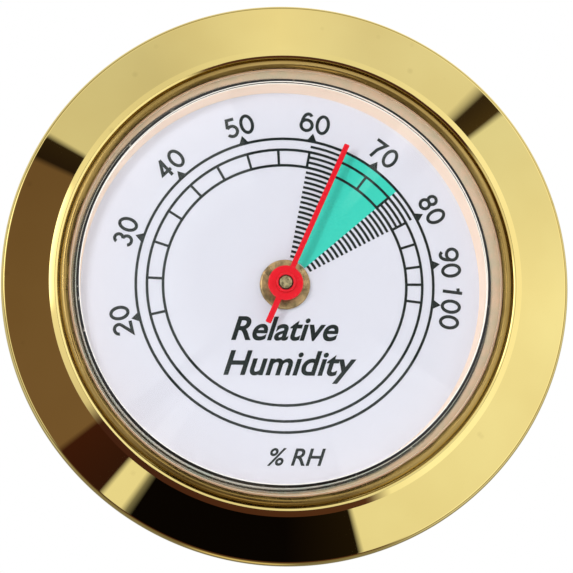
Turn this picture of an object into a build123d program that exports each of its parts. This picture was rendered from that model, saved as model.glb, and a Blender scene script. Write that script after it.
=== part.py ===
from build123d import *
import math
import os

# Panel dial hygrometer, in millimetres.
# The dial faces -Y and its 12 o'clock is +Z. The origin is the centre of the flange's rear plane.
# "Height" is the distance towards the reader from that plane, so a height h lies at y = -h.
# Clock angles are in degrees, clockwise from 12 o'clock as the reader sees the dial.

os.makedirs("parts", exist_ok=True)

# ---------------------------------------------------------------- driving dimensions
# bezel
FLANGE_R = 22.25
FLANGE_EDGE = 0.05
FLANGE_BACK = 0.08
FLANGE_FRONT_R = 21.88
FLANGE_FRONT = 0.49
FLANGE_ROOT_R = 18.38
FLANGE_ROOT = 1.12
BEAD_CREST_R = 18.03
BEAD_CREST = 1.36
BEAD_INNER_R = 17.80
SPIGOT_R = 18.25
SPIGOT_BORE_R = 17.72
SPIGOT_LENGTH = 5.0
SPIGOT_TOP = 0.50
# case
CUP_R = 17.70
CUP_BORE_R = 17.30
CUP_RIM = 0.75
CUP_FLOOR = -8.7
CUP_BACK = -9.2
CUP_CORNER_R = 0.8
PIVOT_HOLE_R = 2.0
VENT_COUNT = 8
VENT_R = 11.0
VENT_LENGTH = 5.0
VENT_WIDTH = 1.6
# stack of parts inside the cup
STACK_R = 17.25
SEAT_BORE_R = 16.2
DIAL_BACK = -1.2
DIAL_FACE = -0.8
REFLECTOR_OUT_R = 16.80
REFLECTOR_DIAL_R = 15.60
REFLECTOR_LENS_R = 16.15
REFLECTOR_SHIFT = (-0.35, -0.30)  # it lies loose in the cup, off centre towards 8 o'clock
# lens
LENS_R = 16.86
LENS_BACK = 0.75
LENS_FRONT = 1.9
LENS_BEVEL_WIDTH = 0.84
LENS_BEVEL_DEPTH = 0.5
GASKET_IN_R = 16.88
GASKET_OUT_R = 17.00
GASKET_FRONT = 1.25
LENS_RING_IN_R = 17.02
LENS_RING_OUT_R = 17.74
LENS_RING_SHOULDER = 1.18
# dial print
INK = 0.02
LINE = 0.21
CIRCLE_OUTER_R = 11.64
CIRCLE_MIDDLE_R = 10.77
CIRCLE_INNER_R = 9.52
TICK_WIDTH = 0.20
TRIANGLE_BASE = 0.8
TRIANGLE_HEIGHT = 0.55
NUMERAL_R = 13.1
NUMERAL_HEIGHT = 1.54
NUMERAL_STROKE = 0.25
NUMERAL_ADVANCE = 1.25
PRINT_START_R = 2.05
HATCH_PITCH = 0.40
HATCH_BAR = 0.20
# humidity per cent -> clock angle; the scale closes up towards the damp end
SCALE = {20: -103.2, 30: -72.0, 40: -43.4, 50: -16.0, 60: 10.4, 70: 36.4, 80: 62.0, 90: 81.6, 100: 96.9}
COMFORT_LOW = 65
COMFORT_HIGH = 75
CAUTION_ZONES = ((60, 65), (75, 80))
# bush and spindle
BUSH_R = 1.97
BUSH_FRONT = -0.5
BUSH_CHAMFER = 0.12
BUSH_SHANK_R = 1.0
BUSH_RIVET_R = 1.5
BUSH_RIVET_BACK = -1.5
SPINDLE_R = 0.5
SPINDLE_PLAY = 0.04
SPINDLE_BACK = -8.5
SPINDLE_FRONT = 0.56
PIVOT_POINT_R = 0.15
PIVOT_POINT_LENGTH = 0.3
# pointer
POINTER_READING = 23.6
POINTER_BACK = 0.08
POINTER_FRONT = 0.26
POINTER_TIP_R = 12.1
POINTER_TAIL_R = 3.45
POINTER_WIDTH = 0.43
TAIL_WIDTH = 0.47
POINTER_DISC_R = 1.38
HUB_TUBE_R = 0.75
HUB_FLANGE_R = 1.2
HUB_BACK = -0.05
HUB_FRONT = 0.52
# sensing coil: half turns about two centres, half a pitch apart
COIL_START_R = 1.45
COIL_PITCH = 1.15
COIL_HALF_TURNS = 11
COIL_THICKNESS = 0.15
COIL_BACK = -5.5
COIL_FRONT = -2.5
COIL_TAIL = 0.9
COLLET_R = 1.3
COLLET_BACK = -5.6
COLLET_FRONT = -2.4
# calibration post and the arm that holds the coil's outer end
HEAD_R = 2.8
HEAD_BACK = -9.8
HEAD_CHAMFER = 0.12
HEAD_GAP = 0.02
DRIVER_SLOT_WIDTH = 0.7
DRIVER_SLOT_DEPTH = 0.35
JOURNAL_R = 1.95
NECK_R = 1.6
NECK_FRONT = -7.0
PIVOT_BORE_BACK = -8.6
ARM_BACK = -8.3
ARM_FRONT = -7.9
ARM_BOSS_R = 2.6
ARM_WIDTH = 2.2
STUD_R = 0.4
STUD_GAP = 0.01
STUD_BACK = -8.35
STUD_FRONT = -2.4
WASHER_IN_R = 1.65
WASHER_OUT_R = 3.6
WASHER_THICKNESS = 0.12
CLIP_SHEET = 0.15
CLIP_WIDTH = 1.2
CLIP_DEPTH = 1.6
CLIP_SHIFT = 0.1

# ---------------------------------------------------------------- derived sizes
COIL_END_R = COIL_START_R + (COIL_HALF_TURNS - 1) * COIL_PITCH / 2
STUD_REACH = COIL_END_R + COIL_THICKNESS / 2 + STUD_R + STUD_GAP

# radius along x and height along y, turned about Axis.Y
PROFILE = Plane(origin=(0, 0, 0), x_dir=(1, 0, 0), z_dir=(0, 0, -1))


def dial_level(height, clock=0):
    """A plane parallel to the dial at this height, with its y axis at this clock angle."""
    turn = math.radians(clock)
    x_dir = (math.cos(turn), 0, -math.sin(turn))
    return Plane(origin=(0, -height, 0), x_dir=x_dir, z_dir=(0, -1, 0))


def scale_angle(percent):
    """Clock angle of a humidity reading; readings between the tens lie midway."""
    if percent in SCALE:
        return SCALE[percent]
    low = percent // 10 * 10
    share = (percent - low) / 10
    return SCALE[low] + (SCALE[low + 10] - SCALE[low]) * share


def on_dial(radius, clock):
    """A point of a dial plane at this radius and clock angle."""
    turn = math.radians(clock)
    return (radius * math.sin(turn), radius * math.cos(turn))


# ---------------------------------------------------------------- bezel: flange, bead and spigot
with BuildPart() as bezel_ring:
    with BuildSketch(PROFILE):
        with BuildLine():
            Line((FLANGE_R, 0), (FLANGE_R, FLANGE_EDGE))
            TangentArc((FLANGE_R, FLANGE_EDGE), (FLANGE_FRONT_R, FLANGE_FRONT), tangent=(0, 1))
            Line((FLANGE_FRONT_R, FLANGE_FRONT), (FLANGE_ROOT_R, FLANGE_ROOT))
            ThreePointArc(
                (FLANGE_ROOT_R, FLANGE_ROOT),
                (BEAD_CREST_R, BEAD_CREST),
                (BEAD_INNER_R, FLANGE_ROOT),
            )
            Polyline(
                (BEAD_INNER_R, FLANGE_ROOT),
                (BEAD_INNER_R, CUP_RIM),
                (SPIGOT_BORE_R, CUP_RIM),
                (SPIGOT_BORE_R, -SPIGOT_LENGTH),
                (SPIGOT_R, -SPIGOT_LENGTH),
                (SPIGOT_R, SPIGOT_TOP),
                (FLANGE_FRONT_R, FLANGE_BACK),
                (FLANGE_FRONT_R, 0),
                (FLANGE_R, 0),
            )
        make_face()
    revolve(axis=Axis.Y)
bezel_ring.part.label = "bezel_ring"
export_step(bezel_ring.part, "parts/bezel_ring.step")

# ---------------------------------------------------------------- case cup with vents in its back
with BuildPart() as case_cup:
    with BuildSketch(PROFILE):
        with BuildLine():
            Polyline(
                (CUP_R - CUP_CORNER_R, CUP_BACK),
                (PIVOT_HOLE_R, CUP_BACK),
                (PIVOT_HOLE_R, CUP_FLOOR),
                (CUP_BORE_R, CUP_FLOOR),
                (CUP_BORE_R, CUP_RIM),
                (CUP_R, CUP_RIM),
                (CUP_R, CUP_BACK + CUP_CORNER_R),
            )
            TangentArc(
                (CUP_R, CUP_BACK + CUP_CORNER_R),
                (CUP_R - CUP_CORNER_R, CUP_BACK),
                tangent=(0, -1),
            )
        make_face()
    revolve(axis=Axis.Y)
    with BuildSketch(dial_level(CUP_BACK)):
        with PolarLocations(VENT_R, VENT_COUNT):
            SlotOverall(VENT_LENGTH, VENT_WIDTH)
    extrude(amount=CUP_FLOOR - CUP_BACK, mode=Mode.SUBTRACT)
case_cup.part.label = "case_cup"
export_step(case_cup.part, "parts/case_cup.step")

# ---------------------------------------------------------------- lens ring, lens and gasket
with BuildPart() as lens_ring:
    with BuildSketch(PROFILE):
        with BuildLine():
            Polyline(
                (LENS_RING_IN_R, LENS_RING_SHOULDER),
                (LENS_RING_IN_R, CUP_RIM),
                (LENS_RING_OUT_R, CUP_RIM),
                (LENS_RING_OUT_R, LENS_RING_SHOULDER),
            )
            TangentArc(
                (LENS_RING_OUT_R, LENS_RING_SHOULDER),
                (LENS_RING_IN_R, LENS_RING_SHOULDER),
                tangent=(0, 1),
            )
        make_face()
    revolve(axis=Axis.Y)
lens_ring.part.label = "lens_ring"
export_step(lens_ring.part, "parts/lens_ring.step")

with BuildPart() as lens_glass:
    with BuildSketch(PROFILE):
        with BuildLine():
            Polyline(
                (0, LENS_BACK),
                (LENS_R, LENS_BACK),
                (LENS_R, LENS_FRONT - LENS_BEVEL_DEPTH),
                (LENS_R - LENS_BEVEL_WIDTH, LENS_FRONT),
                (0, LENS_FRONT),
                close=True,
            )
        make_face()
    revolve(axis=Axis.Y)
lens_glass.part.label = "lens_glass"
export_step(lens_glass.part, "parts/lens_glass.step")

with BuildPart() as lens_gasket:
    with BuildSketch(dial_level(LENS_BACK)):
        Circle(GASKET_OUT_R)
        Circle(GASKET_IN_R, mode=Mode.SUBTRACT)
    extrude(amount=GASKET_FRONT - LENS_BACK)
lens_gasket.part.label = "lens_gasket"
export_step(lens_gasket.part, "parts/lens_gasket.step")

# ---------------------------------------------------------------- reflector ring between dial and lens
reflector_centre = (REFLECTOR_SHIFT[0], 0, REFLECTOR_SHIFT[1])
with BuildPart() as reflector_ring:
    with BuildSketch(Plane(origin=reflector_centre, x_dir=PROFILE.x_dir, z_dir=PROFILE.z_dir)):
        with BuildLine():
            Polyline(
                (REFLECTOR_DIAL_R, DIAL_FACE),
                (REFLECTOR_OUT_R, DIAL_FACE),
                (REFLECTOR_OUT_R, LENS_BACK),
                (REFLECTOR_LENS_R, LENS_BACK),
                close=True,
            )
        make_face()
    revolve(axis=Axis(reflector_centre, (0, 1, 0)))
reflector_ring.part.label = "reflector_ring"
export_step(reflector_ring.part, "parts/reflector_ring.step")

# ---------------------------------------------------------------- seat ring that carries the dial
with BuildPart() as dial_seat_ring:
    with BuildSketch(dial_level(CUP_FLOOR)):
        Circle(STACK_R)
        Circle(SEAT_BORE_R, mode=Mode.SUBTRACT)
    extrude(amount=DIAL_BACK - CUP_FLOOR)
dial_seat_ring.part.label = "dial_seat_ring"
export_step(dial_seat_ring.part, "parts/dial_seat_ring.step")

# ---------------------------------------------------------------- dial plate
with BuildPart() as dial_plate:
    with BuildSketch(dial_level(DIAL_BACK)):
        Circle(STACK_R)
        Circle(BUSH_SHANK_R, mode=Mode.SUBTRACT)
    extrude(amount=DIAL_FACE - DIAL_BACK)
dial_plate.part.label = "dial_plate"
export_step(dial_plate.part, "parts/dial_plate.step")

# ---------------------------------------------------------------- printed scale: circles, ticks, triangles
with BuildSketch(dial_level(DIAL_FACE)) as scale_art:
    for circle_r in (CIRCLE_OUTER_R, CIRCLE_MIDDLE_R, CIRCLE_INNER_R):
        with BuildSketch(dial_level(DIAL_FACE), mode=Mode.PRIVATE) as ring_art:
            Circle(circle_r + LINE / 2)
            Circle(circle_r - LINE / 2, mode=Mode.SUBTRACT)
        add(ring_art.sketch)
    for percent in range(20, 101, 5):
        clock = scale_angle(percent)
        with Locations(on_dial((CIRCLE_INNER_R + CIRCLE_MIDDLE_R) / 2, clock)):
            Rectangle(TICK_WIDTH, CIRCLE_MIDDLE_R - CIRCLE_INNER_R, rotation=-clock)
    for percent in SCALE:
        clock = scale_angle(percent)
        half_base = math.degrees(TRIANGLE_BASE / 2 / CIRCLE_OUTER_R)
        with BuildLine():
            Polyline(
                on_dial(CIRCLE_OUTER_R, clock - half_base),
                on_dial(CIRCLE_OUTER_R + LINE / 2 + TRIANGLE_HEIGHT, clock),
                on_dial(CIRCLE_OUTER_R, clock + half_base),
                close=True,
            )
        make_face()
with BuildPart() as dial_scale_print:
    extrude(scale_art.sketch, amount=INK, dir=(0, -1, 0))
dial_scale_print.part.label = "dial_scale_print"
export_step(dial_scale_print.part, "parts/dial_scale_print.step")

# ---------------------------------------------------------------- printed comfort zone and caution hatching
with BuildPart() as comfort_zone_print:
    with BuildSketch(dial_level(DIAL_FACE)):
        low = scale_angle(COMFORT_LOW)
        high = scale_angle(COMFORT_HIGH)
        middle = (low + high) / 2
        with BuildLine():
            Line(on_dial(PRINT_START_R, low), on_dial(CIRCLE_OUTER_R, low))
            ThreePointArc(
                on_dial(CIRCLE_OUTER_R, low),
                on_dial(CIRCLE_OUTER_R, middle),
                on_dial(CIRCLE_OUTER_R, high),
            )
            Line(on_dial(CIRCLE_OUTER_R, high), on_dial(PRINT_START_R, high))
            ThreePointArc(
                on_dial(PRINT_START_R, high),
                on_dial(PRINT_START_R, middle),
                on_dial(PRINT_START_R, low),
            )
        make_face()
        add(scale_art.sketch, mode=Mode.SUBTRACT)
    extrude(amount=INK)
comfort_zone_print.part.label = "comfort_zone_print"
export_step(comfort_zone_print.part, "parts/comfort_zone_print.step")

hatch_radii = [(CIRCLE_MIDDLE_R + CIRCLE_OUTER_R) / 2]
for share in (1 / 3, 2 / 3):
    hatch_radii.append(CIRCLE_INNER_R + (CIRCLE_MIDDLE_R - CIRCLE_INNER_R) * share)
bar_r = CIRCLE_INNER_R - HATCH_PITCH
while bar_r > PRINT_START_R + HATCH_BAR / 2:
    hatch_radii.append(bar_r)
    bar_r -= HATCH_PITCH

hatch_bars = []
for low_percent, high_percent in CAUTION_ZONES:
    low = scale_angle(low_percent)
    high = scale_angle(high_percent)
    for bar_r in hatch_radii:
        hatch_bars.append(CenterArc((0, 0), bar_r, 90 - high, high - low))

with BuildPart() as caution_hatch_print:
    with BuildSketch(dial_level(DIAL_FACE)):
        for bar_line in hatch_bars:
            trace(bar_line, line_width=HATCH_BAR)
        add(scale_art.sketch, mode=Mode.SUBTRACT)
    extrude(amount=INK)
caution_hatch_print.part.label = "caution_hatch_print"
export_step(caution_hatch_print.part, "parts/caution_hatch_print.step")


# ---------------------------------------------------------------- printed numerals
def digit_strokes(digit):
    """Centre lines of one digit, in numeral heights, about the digit's own centre."""
    side = 0.285
    top = 0.436
    foot = -0.5
    if digit == "0":
        return [EllipticalCenterArc((0, 0), side, top, 0, arc_size=360)]
    if digit == "1":
        return [Line((0.06, foot), (0.06, top + 0.06)), Line((0.06, 0.3), (-0.17, 0.25))]
    if digit == "2":
        hook = CenterArc((0, 0.19), 0.246, 175, -205)
        return [hook, Polyline(hook @ 1, (-side, -top), (side + 0.03, -top))]
    if digit == "3":
        return [CenterArc((0, 0.226), 0.21, 160, -240), CenterArc((0, -0.2), 0.236, 80, -240)]
    if digit == "4":
        frame = Polyline((0.11, top), (-0.27, -0.19), (0.28, -0.19))
        return [frame, Line((0.11, foot), (0.11, top + 0.06))]
    if digit == "5":
        flag = Polyline((0.22, top), (-0.15, top), (-0.21, 0))
        return [flag, CenterArc((0, -0.17), 0.266, 142, -290)]
    if digit in ("6", "9"):
        bowl = EllipticalCenterArc((0, -0.16), side, 0.276, 0, arc_size=360)
        return [bowl, EllipticalCenterArc((0.02, -0.02), 0.27, 0.456, 50, arc_size=130)]
    if digit == "7":
        return [Polyline((-side, top), (side, top), (0.02, -0.02), (-0.08, foot))]
    upper = CenterArc((0, 0.226), 0.21, -70, 320)
    return [upper, CenterArc((0, -0.2), 0.236, 0, 180), CenterArc((0, -0.2), 0.236, 180, 180)]


def numeral_plane(percent, place, digit):
    """Plane of one digit of a numeral, its y axis pointing away from the dial's centre."""
    shift = (place - (len(str(percent)) - 1) / 2) * NUMERAL_ADVANCE
    level = dial_level(DIAL_FACE, scale_angle(percent))
    origin = level.from_local_coords((shift, NUMERAL_R, 0))
    x_dir = -level.x_dir if digit == "9" else level.x_dir
    return Plane(origin=origin, x_dir=x_dir, z_dir=level.z_dir)


DIGITS = {}
for digit in "0123456789":
    DIGITS[digit] = [scale(stroke, by=NUMERAL_HEIGHT) for stroke in digit_strokes(digit)]

with BuildPart() as dial_numerals_print:
    for percent in SCALE:
        for place, digit in enumerate(str(percent)):
            with BuildSketch(numeral_plane(percent, place, digit)):
                for stroke in DIGITS[digit]:
                    trace(stroke, line_width=NUMERAL_STROKE)
            extrude(amount=INK)
dial_numerals_print.part.label = "dial_numerals_print"
export_step(dial_numerals_print.part, "parts/dial_numerals_print.step")

# ---------------------------------------------------------------- front bush, riveted through the dial
with BuildPart() as front_bush:
    with BuildSketch(PROFILE):
        with BuildLine():
            Polyline(
                (SPINDLE_R + SPINDLE_PLAY, BUSH_RIVET_BACK),
                (BUSH_RIVET_R, BUSH_RIVET_BACK),
                (BUSH_RIVET_R, DIAL_BACK),
                (BUSH_SHANK_R, DIAL_BACK),
                (BUSH_SHANK_R, DIAL_FACE),
                (BUSH_R, DIAL_FACE),
                (BUSH_R, BUSH_FRONT - BUSH_CHAMFER),
                (BUSH_R - BUSH_CHAMFER, BUSH_FRONT),
                (SPINDLE_R + SPINDLE_PLAY, BUSH_FRONT),
                close=True,
            )
        make_face()
    revolve(axis=Axis.Y)
front_bush.part.label = "front_bush"
export_step(front_bush.part, "parts/front_bush.step")

# ---------------------------------------------------------------- spindle with a pivot point at its back
with BuildPart() as spindle:
    with BuildSketch(PROFILE):
        with BuildLine():
            Polyline(
                (0, SPINDLE_BACK),
                (PIVOT_POINT_R, SPINDLE_BACK),
                (SPINDLE_R, SPINDLE_BACK + PIVOT_POINT_LENGTH),
                (SPINDLE_R, SPINDLE_FRONT),
                (0, SPINDLE_FRONT),
                close=True,
            )
        make_face()
    revolve(axis=Axis.Y)
spindle.part.label = "spindle"
export_step(spindle.part, "parts/spindle.step")

# ---------------------------------------------------------------- pointer hub: flanged tube on the spindle
with BuildPart() as pointer_hub:
    with BuildSketch(PROFILE):
        with BuildLine():
            Polyline(
                (SPINDLE_R, HUB_BACK),
                (HUB_FLANGE_R, HUB_BACK),
                (HUB_FLANGE_R, POINTER_BACK),
                (HUB_TUBE_R, POINTER_BACK),
                (HUB_TUBE_R, HUB_FRONT),
                (SPINDLE_R, HUB_FRONT),
                close=True,
            )
        make_face()
    revolve(axis=Axis.Y)
pointer_hub.part.label = "pointer_hub"
export_step(pointer_hub.part, "parts/pointer_hub.step")

# ---------------------------------------------------------------- pointer arm: disc, blade and tail
with BuildPart() as pointer_arm:
    with BuildSketch(dial_level(POINTER_BACK, POINTER_READING)):
        Circle(POINTER_DISC_R)
        with Locations((0, POINTER_TIP_R / 2)):
            Rectangle(POINTER_WIDTH, POINTER_TIP_R)
        with Locations((0, -POINTER_TAIL_R / 2)):
            Rectangle(TAIL_WIDTH, POINTER_TAIL_R)
        Circle(HUB_TUBE_R, mode=Mode.SUBTRACT)
    extrude(amount=POINTER_FRONT - POINTER_BACK)
pointer_arm.part.label = "pointer_arm"
export_step(pointer_arm.part, "parts/pointer_arm.step")

# ---------------------------------------------------------------- coil collet on the spindle
with BuildPart() as coil_collet:
    with BuildSketch(dial_level(COLLET_BACK)):
        Circle(COLLET_R)
        Circle(SPINDLE_R, mode=Mode.SUBTRACT)
    extrude(amount=COLLET_FRONT - COLLET_BACK)
coil_collet.part.label = "coil_collet"
export_step(coil_collet.part, "parts/coil_collet.step")


# ---------------------------------------------------------------- humidity-sensing coil
def coil_side(offset):
    """One side of the strip: half turns whose radius grows by half a pitch each."""
    for half_turn in range(COIL_HALF_TURNS):
        centre_x = COIL_PITCH / 2 * (half_turn % 2)
        radius = COIL_START_R + half_turn * COIL_PITCH / 2 + offset
        CenterArc((centre_x, 0), radius, 180 * (half_turn % 2), 180)
    Line((-COIL_END_R - offset, 0), (-COIL_END_R - offset, -COIL_TAIL))


with BuildPart() as hygro_coil:
    with BuildSketch(dial_level(COIL_BACK, -90)):
        with BuildLine():
            coil_side(-COIL_THICKNESS / 2)
            coil_side(COIL_THICKNESS / 2)
            Line((COIL_START_R - COIL_THICKNESS / 2, 0), (COIL_START_R + COIL_THICKNESS / 2, 0))
            Line(
                (-COIL_END_R + COIL_THICKNESS / 2, -COIL_TAIL),
                (-COIL_END_R - COIL_THICKNESS / 2, -COIL_TAIL),
            )
        make_face()
    extrude(amount=COIL_FRONT - COIL_BACK)
hygro_coil.part.label = "hygro_coil"
export_step(hygro_coil.part, "parts/hygro_coil.step")

# ---------------------------------------------------------------- calibration post with a driver slot
with BuildPart() as calibration_post:
    with BuildSketch(PROFILE):
        with BuildLine():
            Polyline(
                (0, HEAD_BACK),
                (HEAD_R - HEAD_CHAMFER, HEAD_BACK),
                (HEAD_R, HEAD_BACK + HEAD_CHAMFER),
                (HEAD_R, CUP_BACK - HEAD_GAP),
                (JOURNAL_R, CUP_BACK - HEAD_GAP),
                (JOURNAL_R, CUP_FLOOR + HEAD_GAP),
                (NECK_R, CUP_FLOOR + HEAD_GAP),
                (NECK_R, NECK_FRONT),
                (SPINDLE_R + SPINDLE_PLAY, NECK_FRONT),
                (SPINDLE_R + SPINDLE_PLAY, PIVOT_BORE_BACK),
                (0, PIVOT_BORE_BACK),
                close=True,
            )
        make_face()
    revolve(axis=Axis.Y)
    with BuildSketch(dial_level(HEAD_BACK)):
        Rectangle(DRIVER_SLOT_WIDTH, 3 * HEAD_R)
    extrude(amount=DRIVER_SLOT_DEPTH, mode=Mode.SUBTRACT)
calibration_post.part.label = "calibration_post"
export_step(calibration_post.part, "parts/calibration_post.step")

# ---------------------------------------------------------------- dished friction washer under the arm
with BuildPart() as friction_washer:
    with BuildSketch(PROFILE):
        with BuildLine():
            Polyline(
                (WASHER_IN_R, ARM_BACK),
                (WASHER_IN_R, ARM_BACK - WASHER_THICKNESS),
                (WASHER_OUT_R, CUP_FLOOR + HEAD_GAP),
                (WASHER_OUT_R, CUP_FLOOR + HEAD_GAP + WASHER_THICKNESS),
                close=True,
            )
        make_face()
    revolve(axis=Axis.Y)
friction_washer.part.label = "friction_washer"
export_step(friction_washer.part, "parts/friction_washer.step")

# ---------------------------------------------------------------- calibration arm, towards 6 o'clock
with BuildPart() as calibration_arm:
    with BuildSketch(dial_level(ARM_BACK)):
        Circle(ARM_BOSS_R)
        with Locations((0, -STUD_REACH / 2)):
            SlotOverall(STUD_REACH + ARM_WIDTH, ARM_WIDTH, rotation=90)
        Circle(NECK_R, mode=Mode.SUBTRACT)
        with Locations((0, -STUD_REACH)):
            Circle(STUD_R, mode=Mode.SUBTRACT)
    extrude(amount=ARM_FRONT - ARM_BACK)
calibration_arm.part.label = "calibration_arm"
export_step(calibration_arm.part, "parts/calibration_arm.step")

# ---------------------------------------------------------------- stud and clip at the coil's outer end
with BuildPart() as coil_stud:
    with BuildSketch(dial_level(STUD_BACK)):
        with Locations((0, -STUD_REACH)):
            Circle(STUD_R)
    extrude(amount=STUD_FRONT - STUD_BACK)
coil_stud.part.label = "coil_stud"
export_step(coil_stud.part, "parts/coil_stud.step")

with BuildPart() as coil_clip:
    inner_face = COIL_END_R - COIL_THICKNESS / 2 - 2 * STUD_GAP
    outer_face = STUD_REACH + STUD_R + STUD_GAP
    with BuildSketch(Plane.YZ.offset(CLIP_SHIFT - CLIP_WIDTH / 2)):
        with BuildLine():
            Polyline(
                (-STUD_FRONT + CLIP_DEPTH, -inner_face),
                (-STUD_FRONT, -inner_face),
                (-STUD_FRONT, -outer_face),
                (-STUD_FRONT + CLIP_DEPTH, -outer_face),
                (-STUD_FRONT + CLIP_DEPTH, -outer_face - CLIP_SHEET),
                (-STUD_FRONT - CLIP_SHEET, -outer_face - CLIP_SHEET),
                (-STUD_FRONT - CLIP_SHEET, -inner_face + CLIP_SHEET),
                (-STUD_FRONT + CLIP_DEPTH, -inner_face + CLIP_SHEET),
                close=True,
            )
        make_face()
    extrude(amount=CLIP_WIDTH)
coil_clip.part.label = "coil_clip"
export_step(coil_clip.part, "parts/coil_clip.step")
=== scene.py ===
"""Dial hygrometer: the looks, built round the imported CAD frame. Everything is in metres."""
import math

import bmesh
import bpy
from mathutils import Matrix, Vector


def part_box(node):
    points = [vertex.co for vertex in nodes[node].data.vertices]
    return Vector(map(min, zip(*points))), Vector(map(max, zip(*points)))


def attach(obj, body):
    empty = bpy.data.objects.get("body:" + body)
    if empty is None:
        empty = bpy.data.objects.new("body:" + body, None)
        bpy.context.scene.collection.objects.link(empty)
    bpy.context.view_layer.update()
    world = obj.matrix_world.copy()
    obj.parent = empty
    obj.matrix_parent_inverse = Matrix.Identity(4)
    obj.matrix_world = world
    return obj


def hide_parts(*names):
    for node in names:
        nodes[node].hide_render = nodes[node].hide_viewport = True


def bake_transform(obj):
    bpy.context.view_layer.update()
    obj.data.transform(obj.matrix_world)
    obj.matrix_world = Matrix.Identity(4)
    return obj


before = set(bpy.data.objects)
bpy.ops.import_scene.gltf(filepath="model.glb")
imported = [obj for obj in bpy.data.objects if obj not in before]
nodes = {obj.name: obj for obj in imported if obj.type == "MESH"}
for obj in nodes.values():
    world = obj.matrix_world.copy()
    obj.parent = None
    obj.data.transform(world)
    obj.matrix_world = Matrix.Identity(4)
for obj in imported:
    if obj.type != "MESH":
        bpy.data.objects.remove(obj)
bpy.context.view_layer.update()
MM = 0.001


# ---------------------------------------------------------------- sizes, read from the frame
def outer_radius(node):
    """Outer radius of a turned node about the Y axis."""
    low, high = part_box(node)
    return (high.z - low.z) / 2


def front(node):
    """Height of the node's front face above the flange's back plane."""
    return -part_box(node)[0].y


def back(node):
    """Height of the node's rear face above the flange's back plane."""
    return -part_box(node)[1].y


FLANGE_R = outer_radius("bezel_ring")
RING_R = outer_radius("lens_ring")
LENS_R = outer_radius("lens_glass")
CUP_R = outer_radius("case_cup")
RIM_R = outer_radius("dial_plate")
BUSH_R = outer_radius("front_bush")
DIAL_FACE = front("dial_plate")
LENS_BACK = back("lens_glass")
LENS_FRONT = front("lens_glass")
RIM_BACK = back("lens_ring")
# the spigot is part of the bezel's node, so no box gives its radius
SPIGOT_R = CUP_R + 0.55 * MM
# the arris is the edge where the lens's flat front meets its bevel; it lies a little off centre
ARRIS_R = LENS_R - 0.88 * MM
ARRIS_X = -0.22 * MM
ARRIS_Z = -0.14 * MM
BEVEL_DEPTH = 0.72 * MM
# mesh building
SEGMENTS = 720
ROUNDING_STEPS = 6
SMOOTH_ANGLE = 35
EDGE_ANGLE = 30
SAME_POINT = 1e-8
WELD_DISTANCE = 1e-7
ON_AXIS = 1e-7


# ---------------------------------------------------------------- node helpers
class Nodes:
    """A node tree, with short calls for the nodes that the materials and the studio share."""

    def __init__(self, tree):
        self.tree = tree
        tree.nodes.clear()

    def add(self, kind, **values):
        """A new node; a value is a setting of the node or, failing that, an input's default."""
        node = self.tree.nodes.new(kind)
        for key, value in values.items():
            if hasattr(node, key):
                setattr(node, key, value)
            else:
                node.inputs[key.replace("_", " ")].default_value = value
        return node

    def link(self, output, socket):
        self.tree.links.new(output, socket)

    def math(self, operation, a, b=0.0):
        node = self.add("ShaderNodeMath", operation=operation)
        for socket, value in zip(node.inputs, (a, b)):
            if isinstance(value, (int, float)):
                socket.default_value = value
            else:
                self.link(value, socket)
        return node.outputs[0]

    def product(self, *values):
        """All the values multiplied together."""
        result = values[0]
        for value in values[1:]:
            result = self.math("MULTIPLY", result, value)
        return result

    def span(self, value, low, high, to_low, to_high, **settings):
        """The value carried from one range to another, held at both ends."""
        node = self.add("ShaderNodeMapRange", **settings)
        self.link(value, node.inputs["Value"])
        for key, number in (("From Min", low), ("From Max", high), ("To Min", to_low), ("To Max", to_high)):
            node.inputs[key].default_value = number
        return node.outputs["Result"]

    def mix(self, factor, a, b):
        """Colour a turning into colour b as the factor rises from 0 to 1."""
        node = self.add("ShaderNodeMix", data_type="RGBA")
        for socket, value in ((node.inputs[0], factor), (node.inputs[6], a), (node.inputs[7], b)):
            if isinstance(value, (int, float)):
                socket.default_value = value
            elif isinstance(value, tuple):
                socket.default_value = (*value, 1.0)
            else:
                self.link(value, socket)
        return node.outputs[2]


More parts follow.
